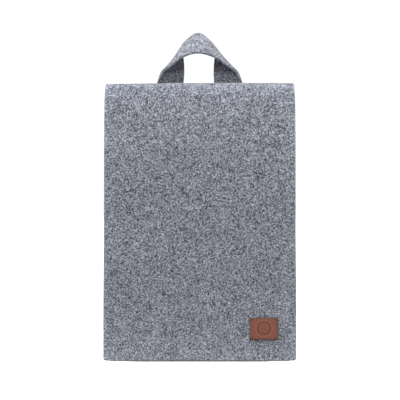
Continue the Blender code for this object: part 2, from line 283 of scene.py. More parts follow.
def felt_material(name, shadow_frame=None, seam=0.0):
    """Grey melange wool: pale and dark fibres curled through each other.

    The given frame of something sewn on is its low and high (x, z) corner, and whether there
    is another on the left as its mirror image; painted shadow darkens the felt all round it.
    seam is how far out an upright sewn line runs on each side. The mesh's edge value is 1
    where the felt is cut, and its stored painted light is positive where a painted highlight
    makes the felt paler and negative where painted shade darkens it.
    """
    n = Nodes(name)
    place = n.rest()
    warp = n.add("ShaderNodeTexNoise", {"Vector": place, "Scale": 260.0, "Detail": 1.0})
    push = n.vector("SUBTRACT", {0: warp.outputs["Color"], 1: (0.5,) * 3})
    push = n.vector("SCALE", {0: push, "Scale": 4 * MM})
    curled = n.vector("ADD", {0: place, 1: push})
    fine = n.noise(860.0, 2.0, 0.6, 0.0, curled)
    curl = n.noise(420.0, 1.0, 0.5, 0.0, curled)
    ridge = n.math("ABSOLUTE", n.math("SUBTRACT", curl, 0.5))
    cloud = n.noise(80.0, 2.0, 0.5, 0.0, place)
    fibre = n.total(
        n.spread(fine, 0.5, 1.5 * FELT_CONTRAST),
        0.5,
        n.spread(ridge, 0.07, 1.6 * FELT_CONTRAST),
        n.spread(cloud, 0.5, 0.46),
    )
    colour = n.ramp(fibre, ((0.02, FELT_DARK), (0.50, FELT_USUAL), (1.0, FELT_PALE)))
    colour = n.tint(colour, n.painted("edge"), 0.25, FELT_PALE)
    # painted light stored on the mesh: its positive part is a painted highlight, its negative
    # part painted shade
    painted_light = n.painted("painted_light")
    painted_highlight = n.math("MAXIMUM", painted_light, 0.0)
    shaded = n.math("MINIMUM", painted_light, 0.0)
    level = n.total(n.math("MULTIPLY", painted_highlight, 0.45), shaded, 1.0)
    colour = n.vector("SCALE", {0: colour, "Scale": level})
    colour = n.tint(colour, painted_highlight, 0.27, FELT_PALE)
    # painted shadow all round what is sewn on
    if shadow_frame:
        shadow_line = n.line(off_rectangle(n, place, *shadow_frame), 1.6 * MM)
        colour = n.tint(colour, shadow_line, 0.62, FELT_SEAM_AND_SHADOW)
    if seam:
        across = n.add("ShaderNodeSeparateXYZ", {0: place}).outputs["X"]
        seam_line = n.line(n.math("SUBTRACT", n.math("ABSOLUTE", across), seam), 1.7 * MM)
        colour = n.tint(colour, seam_line, 0.5, FELT_SEAM_AND_SHADOW)
    hair = n.noise(1500.0, 2.0, 0.6, 0.0, curled)
    normal = n.bump(hair, 0.3 * MM, 0.6, n.bump(fine, 1.3 * MM, 1.0))
    sheen = {"Sheen_Weight": 0.35, "Sheen_Roughness": 0.45}
    return n.surface(colour, 0.95, normal, Specular_IOR_Level=0.15, **sheen)


def off_rectangle(n, place, low, high, mirrored):
    """Distance outwards from the sides of a rectangle in x and z, negative inside it."""
    split = n.add("ShaderNodeSeparateXYZ", {0: place})
    x, z = split.outputs["X"], split.outputs["Z"]
    if mirrored:
        x = n.math("ABSOLUTE", x)
    aside = []
    for value, a, b in ((x, low[0], high[0]), (z, low[1], high[1])):
        off = n.math("ABSOLUTE", n.math("SUBTRACT", value, (a + b) / 2))
        aside.append(n.math("SUBTRACT", off, (b - a) / 2))
    return n.math("MAXIMUM", *aside)


def cloth_material(name, colour):
    """Brushed lining cloth with a fine cross weave."""
    n = Nodes(name)
    place = n.rest()
    weave = n.math("MAXIMUM", *(n.bands(place, 420.0, 1.0, way) for way in ("X", "Z")))
    nap = n.noise(160.0, 3.0, 0.6, 0.5, place)
    pale = toned(colour, 1.35)
    shade = n.ramp(nap, ((0.3, toned(colour, 0.7)), (0.7, pale)))
    shade = n.tint(shade, weave, 0.25, pale)
    normal = n.bump(weave, 0.15 * MM, 0.6, n.bump(nap, 0.3 * MM, 0.4))
    return n.surface(shade, 0.85, normal, Sheen_Weight=0.3, Sheen_Roughness=0.4)


def leather_material(name):
    """Brown leather: pebbled grain and dark cut edges. Pressed parts are darker, partly
    burnish and partly painted shade, and the raised lip has a painted highlight.
    """
    n = Nodes(name)
    place = n.rest()
    cells = n.add("ShaderNodeTexVoronoi", {"Vector": place, "Scale": 1100.0}, feature="SMOOTH_F1")
    pebble = cells.outputs["Distance"]
    creases = n.noise(420.0, 4.0, 0.6, 0.4, place)
    drawn_out = n.vector("MULTIPLY", {0: place, 1: (1.0, 1.0, 0.2)})
    tone = n.noise(1300.0, 3.0, 0.6, 0.3, drawn_out)
    colour = n.ramp(tone, ((0.28, LEATHER_DARK), (0.72, LEATHER_LIGHT)))
    colour = n.tint(colour, pebble, 0.25, LEATHER_GAP)
    colour = n.tint(colour, n.painted("burnish_and_shade"), 0.65, LEATHER_BURNISH_AND_SHADE)
    colour = n.tint(colour, n.painted("lip_highlight"), 0.3, LEATHER_HIGHLIGHT)
    colour = n.tint(colour, n.painted("edge"), 0.6, LEATHER_CUT)
    rough = n.math("ADD", n.math("MULTIPLY", creases, 0.25), 0.38)
    normal = n.bump(creases, 0.12 * MM, 0.6, n.bump(pebble, 0.12 * MM, 0.7))
    return n.surface(colour, rough, normal, Specular_IOR_Level=0.4)


def thread_material(name, colour):
    """Twisted sewing thread."""
    n = Nodes(name)
    twist = n.bands(n.rest(), 900.0, 2.0, "DIAGONAL")
    shade = n.ramp(twist, ((0.2, toned(colour, 0.6)), (0.8, toned(colour, 1.5))))
    return n.surface(shade, 0.6, n.bump(twist, 0.1 * MM, 0.7), Sheen_Weight=0.2)


def steel_material(name):
    """Nickel-plated magnet casing with fine turning marks."""
    n = Nodes(name)
    place = n.add("ShaderNodeTexCoord").outputs["Object"]
    marks = n.noise(2400.0, 3.0, 0.6, 0.0, place)
    colour = n.ramp(marks, ((0.3, (0.48, 0.48, 0.50)), (0.7, (0.62, 0.62, 0.64))))
    rough = n.math("ADD", n.math("MULTIPLY", marks, 0.2), 0.22)
    return n.surface(colour, rough, n.bump(marks, 0.02 * MM, 0.5), Metallic=1.0)


# ---------------------------------------------------------------- mesh building


def wobble(point, size, seed=0.0):
    """Smooth noise in -1 to 1 for a point, with features of the given size."""
    return noise.noise(Vector(point) / size + Vector((seed, 2.7 * seed, -1.3 * seed)))


def unevenness(point):
    """The small waves of a felt surface, in -1 to 1."""
    return 0.6 * wobble(point, 4 * MM) + 0.4 * wobble(point, 11 * MM, 5.0)


def ease(value):
    """Smooth step from 0 to 1."""
    value = min(max(value, 0.0), 1.0)
    return value * value * (3 - 2 * value)


def lengths_along(points):
    """Length of a path up to each of its points."""
    return np.r_[0, np.cumsum(np.linalg.norm(np.diff(points, axis=0), axis=1))]


def smooth_path(points, count):
    """Evenly spaced points on a smooth curve through the given ones."""
    points = np.array(points, float)
    first, last = 2 * points[0] - points[1], 2 * points[-1] - points[-2]
    ctrl = np.vstack([first, points, last])
    dense = []
    for k in range(1, len(ctrl) - 2):
        a, b, c, d = ctrl[k - 1 : k + 3]
        for t in np.linspace(0, 1, 24, endpoint=False):
            square = (2 * a - 5 * b + 4 * c - d) * t**2
            cube = (3 * b - a - 3 * c + d) * t**3
            dense.append(0.5 * (2 * b + (c - a) * t + square + cube))
    dense = np.array([*dense, points[-1]])
    steps = lengths_along(dense)
    along = np.linspace(0, steps[-1], count)
    return np.stack([np.interp(along, steps, dense[:, k]) for k in range(points.shape[1])], 1)


def make_piece(name, verts, faces, material, attributes=None):
    """A smooth shaded mesh object with float attributes on its points."""
    mesh = bpy.data.meshes.new(name)
    mesh.from_pydata([tuple(v) for v in verts], [], faces)
    for key, values in (attributes or {}).items():
        layer = mesh.attributes.new(key, "FLOAT", "POINT")
        layer.data.foreach_set("value", np.asarray(values, np.float32))
    mesh.polygons.foreach_set("use_smooth", [True] * len(mesh.polygons))
    mesh.materials.append(material)
    keep_rest(mesh)
    mesh.update()
    return in_scene(name, mesh)


def in_scene(name, data):
    """A new object in the scene."""
    obj = bpy.data.objects.new(name, data)
    bpy.context.scene.collection.objects.link(obj)
    return obj


def keep_rest(mesh):
    """Keep each point's place at rest, so that the looks stay put when a joint moves."""
    points = np.empty(len(mesh.vertices) * 3, np.float32)
    mesh.vertices.foreach_get("co", points)
    layer = mesh.attributes.new("rest", "FLOAT_VECTOR", "POINT")
    layer.data.foreach_set("vector", points)


def surface_normals(grid):
    """Unit normals of a grid of points."""
    along_u = np.gradient(grid, axis=0)
    along_v = np.gradient(grid, axis=1)
    normal = np.cross(along_u, along_v)
    return normal / np.linalg.norm(normal, axis=2, keepdims=True)


def border(rows, cols):
    """Grid indices once round the border."""
    ring = [(0, j) for j in range(cols)]
    ring += [(i, cols - 1) for i in range(1, rows)]
    ring += [(rows - 1, j) for j in range(cols - 2, -1, -1)]
    return ring + [(i, 0) for i in range(rows - 2, 0, -1)]


def outward_ways(grid, ring, butt):
    """Unit way out of the sheet at each place of its border, or none where it is cut square."""
    rows, cols = grid.shape[:2]
    ways = {}
    for i, j in ring:
        towards = (min(max(i, 1), rows - 2), min(max(j, 1), cols - 2))
        way = grid[i, j] - grid[towards]
        if butt and j == 0:
            way = grid[i, j] - grid[towards[0], j] if i in (0, rows - 1) else way * 0.0
        length = np.linalg.norm(way)
        ways[i, j] = way / length if length else way
    return ways


def sheet_faces(rows, cols, loops):
    """Faces of both sides of a sheet and of its round edge."""
    size = rows * cols
    faces = []
    for i in range(rows - 1):
        for j in range(cols - 1):
            a, b = i * cols + j, (i + 1) * cols + j
            faces.append((a, b, b + 1, a + 1))
            faces.append((size + a, size + a + 1, size + b + 1, size + b))
    count = len(loops[0])
    for upper, lower in zip(loops, loops[1:]):
        for k in range(count):
            m = (k + 1) % count
            faces.append((upper[k], upper[m], lower[m], lower[k]))
    return faces


def thick_sheet(name, grid, thick, material, rough=0.0, inset=EDGE_INSET, extra=None, butt=False):
    """A closed sheet of felt or leather over a grid of mid points, with soft round edges.

    rough is the height of the surface's unevenness. extra maps a name to a pair of values for
    each grid point, on the side the grid's normals point to and on the other one. With butt
    the sheet's first end is cut square, to meet another sheet there.
    """
    rows, cols = grid.shape[:2]
    size = rows * cols
    normal = surface_normals(grid)
    ring = border(rows, cols)
    outward = outward_ways(grid, ring, butt)
    inner = grid.copy()
    for place in ring:
        inner[place] = grid[place] - outward[place] * inset
    half = thick / 2
    upper_side, lower_side = inner + normal * half, inner - normal * half
    verts = [*upper_side.reshape(-1, 3), *lower_side.reshape(-1, 3)]
    edge = [0.0] * (2 * size)
    for i, j in ring:
        if j or not butt:
            edge[i * cols + j] = edge[size + i * cols + j] = EDGE_START
    loops = [[i * cols + j for i, j in ring]]
    for turn in EDGE_TURNS:
        out, up = inset * cos(radians(turn)), half * sin(radians(turn))
        loops.append(range(len(verts), len(verts) + len(ring)))
        for i, j in ring:
            ragged = EDGE_RAGGED * rough * wobble(grid[i, j], 2.5 * MM, 3.0)
            verts.append(inner[i, j] + outward[i, j] * (out + ragged) + normal[i, j] * up)
            edge.append(1.0 if j or not butt else 0.0)
    loops.append([size + i * cols + j for i, j in ring])
    faces = sheet_faces(rows, cols, loops)
    if rough:
        flat_normal = normal.reshape(-1, 3)
        for k in range(size):
            lift = rough * unevenness(verts[k])
            verts[k] = verts[k] + flat_normal[k] * lift
            verts[size + k] = verts[size + k] + flat_normal[k] * lift
    attributes = {"edge": edge}
    for key, values in (extra or {}).items():
        first, second = (list(np.asarray(side, float).reshape(-1)) for side in values)
        rim = [max(first[i * cols + j], second[i * cols + j]) for i, j in ring]
        attributes[key] = first + second + rim * len(EDGE_TURNS)
    return make_piece(name, verts, faces, material, attributes)


def spaced(low, high, step, fine=0.0):
    """Even values, with closer ones near both ends where fine is given."""
    values = np.linspace(low, high, max(2, int(round((high - low) / step))) + 1)
    if fine:
        close = np.array([0.0, fine, 2.2 * fine])
        inside = values[(values > low + 3 * fine) & (values < high - 3 * fine)]
        values = np.r_[low + close, inside, high - close[::-1]]
    return values


def panel_grid(path, half_width, corner):
    """Grid over a path in (y, z), as wide as half_width(z), with rounded corners at its end."""
    lengths = lengths_along(path)
    stops = spaced(0, lengths[-1], GRID, EDGE_ROW)
    near = lengths[-1] - np.linspace(corner, 0, int(corner / CORNER_ROW) + 1)
    stops = np.r_[stops[stops < near[0] - CORNER_ROW], near]
    y, z = np.interp(stops, lengths, path[:, 0]), np.interp(stops, lengths, path[:, 1])
    across = spaced(-1, 1, GRID / HALF_WIDTH, EDGE_ROW / HALF_WIDTH)
    grid = np.zeros((len(across), len(stops), 3))
    for j, stop in enumerate(stops):
        half = half_width(z[j])
        left = lengths[-1] - stop
        if left < corner:
            half -= corner - (corner**2 - (corner - left) ** 2) ** 0.5
        grid[:, j, 0] = across * half
        grid[:, j, 1:] = y[j], z[j]
    return grid


def stitch_mesh(name, routes, material, stitch, out):
    """A row of separate stitches along each route of points, standing out along out."""
    length, pitch, radius = stitch
    verts, faces = [], []
    out = Vector(out)
    for route in routes:
        smooth = len(route) > 2
        line = smooth_path(route, len(route) * 8) if smooth else np.array(route, float)
        lengths = lengths_along(line)
        count = max(1, int(lengths[-1] / pitch))
        for k in range(count):
            middle = (k + 0.5) * lengths[-1] / count
            add_stitch(verts, faces, line, lengths, middle, length, radius, out)
    return make_piece(name, verts, faces, material)


def add_stitch(verts, faces, line, lengths, middle, length, radius, out):
    """One stitch, thin at its ends where it sinks into the cloth."""
    sections, sides = 7, 8
    thinned, lifted, sunk = 0.45, 0.55, 1.2
    base = len(verts)
    centre, ahead, behind = (
        Vector([np.interp(middle + off, lengths, line[:, c]) for c in range(3)])
        for off in (0.0, 0.4 * MM, -0.4 * MM)
    )
    along = (ahead - behind).normalized()
    across = out.cross(along).normalized()
    for s in range(sections):
        t = s / (sections - 1) * 2 - 1
        thick = radius * (1 - thinned * t**4)
        lift = radius * (lifted - sunk * t**4)
        for m in range(sides):
            a = 2 * pi * m / sides
            side = across * thick * cos(a) + out * (lift + thick * sin(a))
            verts.append(centre + along * (t * length / 2) + side)
    for s in range(sections - 1):
        for m in range(sides):
            a, b = base + s * sides + m, base + s * sides + (m + 1) % sides
            faces.append((a, b, b + sides, a + sides))
    faces.append(tuple(base + m for m in reversed(range(sides))))
    last = base + (sections - 1) * sides
    faces.append(tuple(last + m for m in range(sides)))


# ---------------------------------------------------------------- the felt strip


def drawn_in(z):
    """0 up to where the strip's sides start to draw in, and 1 at the top."""
    return max(0.0, (z - DRAWN_FROM * TOP) / ((1 - DRAWN_FROM) * TOP))


def strip_half_width(z):
    """Half width of the flap: nearly straight sides, drawn in a little at the top fold."""
    low, high = FLAP_HIGH.x, SPINE_HIGH.x
    share = min(max((z - HEM) / (TOP - HEM), 0.0), 1.0)
    straight = low + (high - low) * SIDE_TAPER * share
    return straight - DRAWN_BY * drawn_in(z) ** 2 + SIDE_WANDER * sin(SIDE_WAVES * z)


def back_half_width(z):
    """Half width of the back, which meets the flap's width at the top fold."""
    wide = BACK_HIGH.x - 0.3 * MM
    return wide + (strip_half_width(SPINE_Z) - wide) * min(drawn_in(z), 1.0) ** 2


def flap_path():
    """Middle of the felt in (y, z), from the top of the spine over the front to the hem."""
    # Past the spine: how far the felt is behind the hem and below the top, in mm
    over = (
        (6.4, 3.5),
        (3.9, 6.7),
        (2.4, 10.9),
        (0.7, 17.5),
        (-2.1, 33.0),
        (-4.3, 57.0),
        (-5.6, 88.0),
        (-6.0, 125.0),
        (-5.6, 170.0),
        (-4.6, 215.0),
        (-2.8, 262.0),
        (-1.0, 305.0),
        (-0.2, 330.0),
    )
    points = [(SPINE_MID, SPINE_Z), (FLAP_MID + 10.6 * MM, SPINE_Z - 0.1 * MM)]
    points += [(FLAP_MID + behind * MM, TOP - below * MM) for behind, below in over]
    return smooth_path([*points, (FLAP_MID, HEM - 0.3 * MM)], 400)


def back_path():
    """Middle of the felt in (y, z), from the bottom of the back up and over to the spine."""
    points = [(BACK_MID, z * MM) for z in (0, 40, 120, 220, 285, 328)]
    points += [
        (BACK_MID - 0.5 * MM, TOP - 9.0 * MM),
        (BACK_MID - 2.9 * MM, TOP - 4.2 * MM),
        (BACK_MID - 7.0 * MM, SPINE_Z - 0.1 * MM),
        (SPINE_MID, SPINE_Z),
    ]
    return smooth_path(points, 300)


def top_rise(x, z):
    """How much the top fold stands up: most in the middle, and more right than left."""
    middle = RISE_MIDDLE * (1 - (x / RISE_HALF_WIDTH) ** 2)
    rise = RISE_SIDES + middle + RISE_SLOPE * x
    return rise * max(0.0, 1 - (TOP - z) / RISE_FADE)


def shape_flap(grid):
    """Give the flap its slight waves, curled side edges and risen top, in place."""
    front_from, full_below = SPINE_MID - 4 * MM, 30 * MM
    wave, wave_size = 0.55 * MM, 75 * MM
    curl, curl_from, curl_over = 0.7 * MM, 108 * MM, 12 * MM
    for i in range(grid.shape[0]):
        for j in range(grid.shape[1]):
            x, y, z = grid[i, j]
            if y < front_from:
                down = min(1.0, (TOP - z) / full_below)
                grid[i, j, 1] += down * wave * wobble((x, 0, z), wave_size, 1.0)
                outer = max(0.0, abs(x) - curl_from) / curl_over
                grid[i, j, 1] += down * curl * outer**2
            grid[i, j, 2] += top_rise(x, z)


def shape_back(grid):
    """Give the back its slight belly and risen top, in place."""
    belly_top, belly_half_width = TOP - 40 * MM, 100 * MM
    depth, wave, wave_size = 1.2 * MM, 0.5 * MM, 70 * MM
    for i in range(grid.shape[0]):
        for j in range(grid.shape[1]):
            x, z = grid[i, j, 0], grid[i, j, 2]
            if z < belly_top:
                aside = min(1.0, abs(x) / belly_half_width)
                belly = cos(aside * pi / 2) * sin(pi * z / belly_top)
                grid[i, j, 1] += belly * (depth + wave * wobble((x, 0, z), wave_size, 4.0))
            grid[i, j, 2] += top_rise(x, z)


def flap_painted_light(grid):
    """Painted light on the flap: paler towards its hem and sides, and below the top fold."""
    x, z = abs(grid[..., 0]), grid[..., 2]
    hem = 0.33 * np.exp(-(z - HEM) / (52 * MM))
    sides = 0.30 * np.exp((x - FLAP_HIGH.x) / (8 * MM))
    fold = 0.11 * np.exp(-(((TOP - z - 9 * MM) / (6 * MM)) ** 2))
    return hem + sides + fold


def build_strip(back_felt, flap_felt):
    """The back with the rear half of the top, and the flap with the front half."""
    rough = 0.15 * MM
    flap_grid = panel_grid(flap_path(), strip_half_width, 3 * MM)
    shape_flap(flap_grid)
    # painted highlight on the flap, towards its hem and sides and below the top fold
    painted_light = flap_painted_light(flap_grid)
    looks = {"painted_light": (painted_light, painted_light)}
    flap = thick_sheet("felt_flap", flap_grid, FELT, flap_felt, rough, extra=looks, butt=True)
    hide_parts("flap_panel", "front_fold", "spine_panel")
    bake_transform(flap)

    back_grid = panel_grid(back_path()[::-1], back_half_width, 7 * MM)
    shape_back(back_grid)
    back = thick_sheet("felt_back", back_grid, FELT, back_felt, rough, butt=True)
    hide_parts("back_panel", "rear_fold")
    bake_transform(back)


# ---------------------------------------------------------------- the pocket


def applied_copy(obj, name, material):
    """A new object from an object with its modifiers applied. The old one goes."""
    graph = bpy.context.evaluated_depsgraph_get()
    mesh = bpy.data.meshes.new_from_object(obj.evaluated_get(graph))
    mesh.name = name
    bpy.data.objects.remove(obj, do_unlink=True)
    mesh.materials.clear()
    mesh.materials.append(material)
    mesh.polygons.foreach_set("use_smooth", [True] * len(mesh.polygons))
    return in_scene(name, mesh)


def soft_solid(name, surface, thick, voxel, material, rough):
    """Thicken an open surface into felt, melt its edges and corners, and roughen it."""
    mesh = bpy.data.meshes.new(name + "_flat")
    surface.to_mesh(mesh)
    surface.free()
    obj = in_scene(name + "_flat", mesh)
    solid = obj.modifiers.new("thick", "SOLIDIFY")
    solid.thickness = thick
    solid.offset = 0.0
    solid.use_even_offset = True
    melt = obj.modifiers.new("melt", "REMESH")
    melt.mode = "VOXEL"
    melt.voxel_size = voxel
    calm = obj.modifiers.new("calm", "SMOOTH")
    calm.iterations = 3
    calm.factor = 0.5
    made = applied_copy(obj, name, material)
    count = len(made.data.vertices)
    points, normals = np.empty(count * 3), np.empty(count * 3)
    made.data.vertices.foreach_get("co", points)
    made.data.vertices.foreach_get("normal", normals)
    points, normals = points.reshape(-1, 3), normals.reshape(-1, 3)
    for k, point in enumerate(points):
        points[k] = point + normals[k] * unevenness(point) * rough
    made.data.vertices.foreach_set("co", points.reshape(-1))
    keep_rest(made.data)
    made.data.update()
    return made


def build_pocket(felt):
    """The front of the pocket, bent round into side walls and sewn flanges."""
    wall = BOTTOM_HIGH.x - FELT / 2
    front = FRONT_LOW.y + FELT / 2
    rear = FRONT_HIGH.y - FELT / 2 + 0.2 * MM
    reach = FRONT_HIGH.x
    low, high = FRONT_LOW.z, FRONT_HIGH.z

    # Section in (x, y): flange, side wall bowed out a little, round corner, and the front
    bend, bow, crease, flat_from = 5 * MM, 0.96 * MM, 1.5 * MM, 12 * MM
    corner = [
        (-wall + bend * (1 + cos(radians(a))), front + bend * (1 + sin(radians(a))))
        for a in range(180, 271, 15)
    ]
    left = [(-reach, rear), (-wall - crease, rear), (-wall, rear - crease)]
    left += [(-wall - bow, (front + rear) / 2), *corner]
    middle = [(x, front) for x in np.linspace(flat_from - wall, wall - flat_from, 24)]
    right = [(-x, y) for x, y in reversed(left)]
    section = left + middle + right

    # The front swells between its lower part and its mouth, and less towards its sides
    swell, swell_from = 3.8 * MM, 65 * MM
    over_foot, over_mouth, over_side = 75 * MM, 60 * MM, 45 * MM
    bm = bmesh.new()
    rows = []
    for z in np.linspace(low, high, 40):
        puff = swell * ease((z - swell_from) / over_foot) * ease((high - z) / over_mouth)
        row = []
        for x, y in section:
            belly = puff * ease((wall - abs(x)) / over_side) if y < 0 else 0.0
            row.append(bm.verts.new((x, y - belly, z)))
        rows.append(row)
    for row, after in zip(rows, rows[1:]):
        for k in range(len(section) - 1):
            bm.faces.new((row[k], row[k + 1], after[k + 1], after[k]))
    pocket = soft_solid("felt_pocket", bm, FELT, 1.5 * MM, felt, 0.12 * MM)
    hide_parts("front_panel")
    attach(pocket, "pocket")


def build_bottom(felt):
    """The bottom: one piece of felt turned up all round into a shallow tray."""
    low, high = BOTTOM_LOW, BOTTOM_HIGH
    half, bend = FELT / 2, 4 * MM
    flat_x, flat_y = high.x - half - bend, (high.y - low.y) / 2 - half - bend
    middle_y = (high.y + low.y) / 2
    wall = high.z - low.z - half - bend
    turned = bend * pi / 2 + wall
    edge = np.linspace(0, turned, 6)
    flat_part = np.linspace(-flat_x, flat_x, 60)[1:-1]
    across = np.r_[-(flat_x + edge[::-1]), flat_part, flat_x + edge]
    deep = np.r_[-(flat_y + edge[::-1]), np.linspace(-flat_y, flat_y, 8)[1:-1], flat_y + edge]

    # The bottom's ends rise off the floor past here, by this much at the very end, and the
    # whole of it sits a little low
    ends_from, ends_rise, lowered = 78 * MM, 3.4 * MM, 0.15 * MM
    grid = np.zeros((len(across), len(deep), 3))
    for i, s in enumerate(across):
        for j, t in enumerate(deep):
            over = Vector((max(abs(s) - flat_x, 0.0), max(abs(t) - flat_y, 0.0)))
            reach = max(over)
            way = over.normalized()
            angle = min(reach / bend, pi / 2)
            out = bend * sin(angle)
            up = bend * (1 - cos(angle)) + max(0.0, reach - bend * pi / 2)
            x = np.sign(s) * (min(abs(s), flat_x) + way.x * out)
            y = np.sign(t) * (min(abs(t), flat_y) + way.y * out)
            drawn = max(0.0, abs(x) - ends_from) / (high.x - ends_from)
            up = max(up, ends_rise * drawn**2)
            grid[i, j] = (x, middle_y + y, low.z + half + up - lowered)
    # painted shade on the bottom, darkest where it meets the floor
    shade_height = 6 * MM
    painted_shade = -0.55 * np.clip(1 - (grid[..., 2] - low.z) / shade_height, 0, 1)
    looks = {"painted_light": (painted_shade, painted_shade)}
    thick, inset = FELT * 0.96, 0.9 * MM
    bottom = thick_sheet("felt_bottom", grid, thick, felt, 0.1 * MM, inset, extra=looks)
    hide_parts("bottom_fold")
    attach(bottom, "pocket")


def flat_grid(low, high, y, step):
    """A flat upright grid between two corners."""
    xs = spaced(low[0], high[0], step, 0.8 * MM)
    zs = spaced(low[2], high[2], step, 0.8 * MM)
    grid = np.zeros((len(xs), len(zs), 3))
    grid[..., 0] = xs[:, None]
    grid[..., 1] = y
    grid[..., 2] = zs[None, :][:, ::-1]
    return grid


def build_linings(cloth):
    """Both linings and the facing behind the flap's hem."""
    for name, piece, body in (
        ("back_lining", "lining_back", "pocket"),
        ("front_lining", "lining_front", "pocket"),
        ("flap_hem_facing", "hem_facing", "flap"),
    ):
        low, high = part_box(name)
        thick = high[1] - low[1]
        grid = flat_grid(low, high, (low[1] + high[1]) / 2, 6 * MM)
        if body == "flap":
            for j in range(grid.shape[1]):
                grid[:, j, 1] = flap_front_y(grid[0, j, 2]) + FELT + 0.1 * MM + thick / 2
        sheet = thick_sheet(piece, grid, thick * 0.9, cloth, rough=0.05 * MM, inset=0.4 * MM)
        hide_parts(name)
        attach(sheet, body)


# ---------------------------------------------------------------- the carrying loop


def smooth_value(values, position, even):
    """Value on a smooth curve through evenly numbered values.

    Past its last value the curve runs back the same way where even is true, and otherwise
    carries on the opposite way.
    """
    last = len(values) - 1
    index = min(int(position), last - 1)
    t = position - index
    before = values[index - 1] if index else 2 * values[0] - values[1]
    back = values[last - 1]
    beyond = back if even else 2 * values[last] - back
    after = values[index + 2] if index + 2 <= last else beyond
    a, b = values[index], values[index + 1]
    return 0.5 * (
        2 * a
        + (b - before) * t
        + (2 * before - 5 * a + 4 * b - after) * t * t
        + (3 * a - before - 3 * b + after) * t**3
    )


def loop_edge(position):
    """Lower front edge of the loop and its width as a vector, at a place along it.

    The position is 0 at the left foot and twice the last point's number at the right one.
    """
    last = len(LOOP_POINTS) - 1
    side = 1 if position <= last else -1
    position = min(max(position, 0.0), 2.0 * last)
    along = min(position, 2 * last - position)
    across, up, turn, wide = (
        smooth_value([point[k] for point in LOOP_POINTS], along, k in (1, 3)) for k in range(4)
    )
    near_twist = np.exp(-(((along - LOOP_TWIST_AT) / LOOP_TWIST_SPREAD) ** 2))
    turn = radians(turn + LOOP_TWIST * side * near_twist)
    rise = max(up, 0.0) / LOOP_RISE_MM
    x = side * across * MM + LOOP_DRIFT * rise**2
    y = TAB_LOW.y + LOOP_SETBACK * sin(turn)
    z = TOP + up * MM + LOOP_LIFT * min(1.0, 2 * rise)
    lean = sin(turn)
    width = Vector((side * cos(turn), lean * cos(LOOP_LEAN), lean * sin(LOOP_LEAN)))
    return Vector((x, y, z)), width * (wide * MM * (1 - LOOP_UNEVEN * side * (1 - along / last)))


def loop_columns():
    """Place, width and way along of the strap, from the end of one sewn foot to the other."""
    last = 2 * (len(LOOP_POINTS) - 1)
    foot_rows = np.linspace(TAB_LOW.z, TOP - 5.5 * MM, 26)
    foot_x = LOOP_POINTS[0][0] * MM
    foot_left, foot_right = loop_edge(0.0)[1], loop_edge(float(last))[1]
    columns = []
    for z in foot_rows:
        columns.append((Vector((foot_x, TAB_LOW.y, z)), foot_left, Vector((0, 0, 1))))
    for position in np.linspace(0, last, 110):
        point, width = loop_edge(position)
        along = loop_edge(position + 0.05)[0] - loop_edge(position - 0.05)[0]
        columns.append((point, width, along))
    for z in foot_rows[::-1]:
        columns.append((Vector((-foot_x, TAB_LOW.y, z)), foot_right, Vector((0, 0, -1))))
    return columns


def loop_tone(grid):
    """Painted shade on the strap's outer and inner faces, as values for both.

    The shade is darkest at the foot and lighter towards the apex, and the inner face has a
    little more painted shade on the left. The sewn tabs, further than a few mm below the top
    edge, keep the felt's own tone.
    """
    x, above = grid[..., 0], grid[..., 2] - TOP
    outer = 0.47 * np.clip(above / (28 * MM), 0, 1) - 0.5
    inner = 0.42 * np.clip((above - 8 * MM) / (24 * MM), 0, 1) - 0.65
    inner += 0.05 * np.clip(x / (30 * MM), -1, 1)
    shown = np.clip((above + 14 * MM) / (12 * MM), 0, 1)
    return shown * outer, shown * inner


def build_handle(felt):
    """One felt strap: sewn tab, leg, loop, leg, sewn tab."""
    across = np.array([0.0, 0.04, 0.1, 0.2, 0.3, 0.4, 0.5, 0.6, 0.7, 0.8, 0.9, 0.96, 1.0])
    columns = loop_columns()
    grid = np.zeros((len(across), len(columns), 3))
    for j, (point, width, along) in enumerate(columns):
        inward = width.cross(along).normalized()
        for i, share in enumerate(across):
            sag = LOOP_SAG * sin(pi * share) * abs(sin(pi * j / len(columns))) ** 4
            grid[i, j] = point + width * share - inward * (LOOP_THICK / 2 + sag)
    # Turned over, so that the outer face comes first
    grid = grid[::-1]
    # painted shade on both faces of the strap
    looks = {"painted_light": loop_tone(grid)}
    strap = thick_sheet("handle_strap", grid, LOOP_THICK, felt, 0.12 * MM, extra=looks)
    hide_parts("handle_loop", "handle_tab_left", "handle_tab_right")
    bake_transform(strap)


# ---------------------------------------------------------------- stitches


def sew(name, routes, thread, stitch, out, node, body):
    """Rows of stitches that stand for a CAD node and move with a body."""
    piece = stitch_mesh(name, routes, thread, stitch, out)
    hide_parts(node)
    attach(piece, body)


